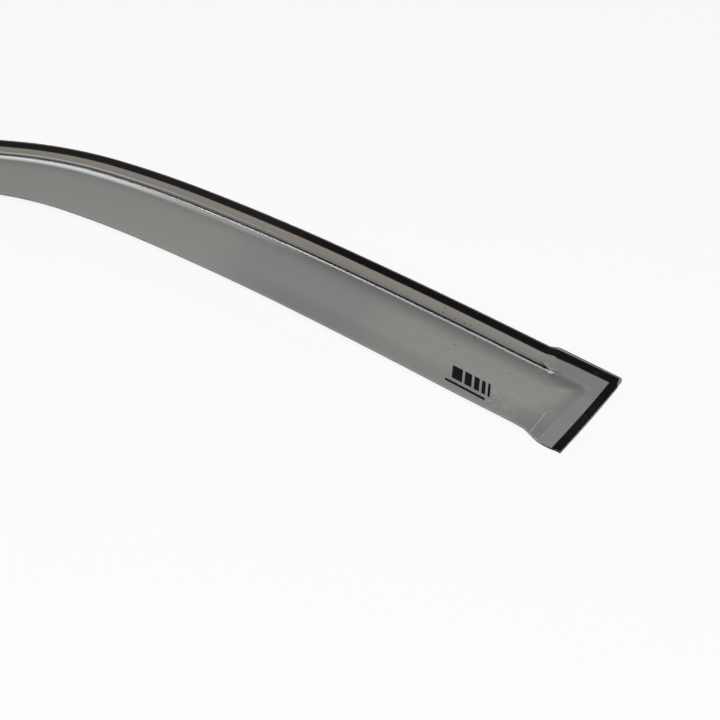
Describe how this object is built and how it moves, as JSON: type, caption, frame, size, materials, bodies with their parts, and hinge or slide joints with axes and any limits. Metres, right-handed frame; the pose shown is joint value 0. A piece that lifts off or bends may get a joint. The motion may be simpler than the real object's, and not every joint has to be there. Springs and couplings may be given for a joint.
{
  "type": "window rain deflector",
  "caption": "Smoked acrylic window rain deflector for a front door: flat taped flange, stepped and outward-bowed blade, raised flat rear end, narrowing front end.",
  "frame": {"origin": "on the outer face of the top tape's release liner, on the tape's centre line, where its straight rear stretch meets the first arc", "axes": "+X along the straight rear stretch towards the door's rear end, +Y towards the taped upper edge, +Z away from the door, so the bonding faces look along -Z"},
  "size_m": [0.8797, 0.2883, 0.0094],
  "materials": {
    "smoked_acrylic": "gloss, transparent smoke tint",
    "foam_tape": "matt closed-cell foam with adhesive faces",
    "release_liner": "thin translucent red film"
  },
  "bodies": {
    "root": {"visor": "smoked_acrylic", "top_tape": "foam_tape", "end_tape": "foam_tape", "top_liner": "release_liner", "end_liner": "release_liner"}
  },
  "joints": []
}
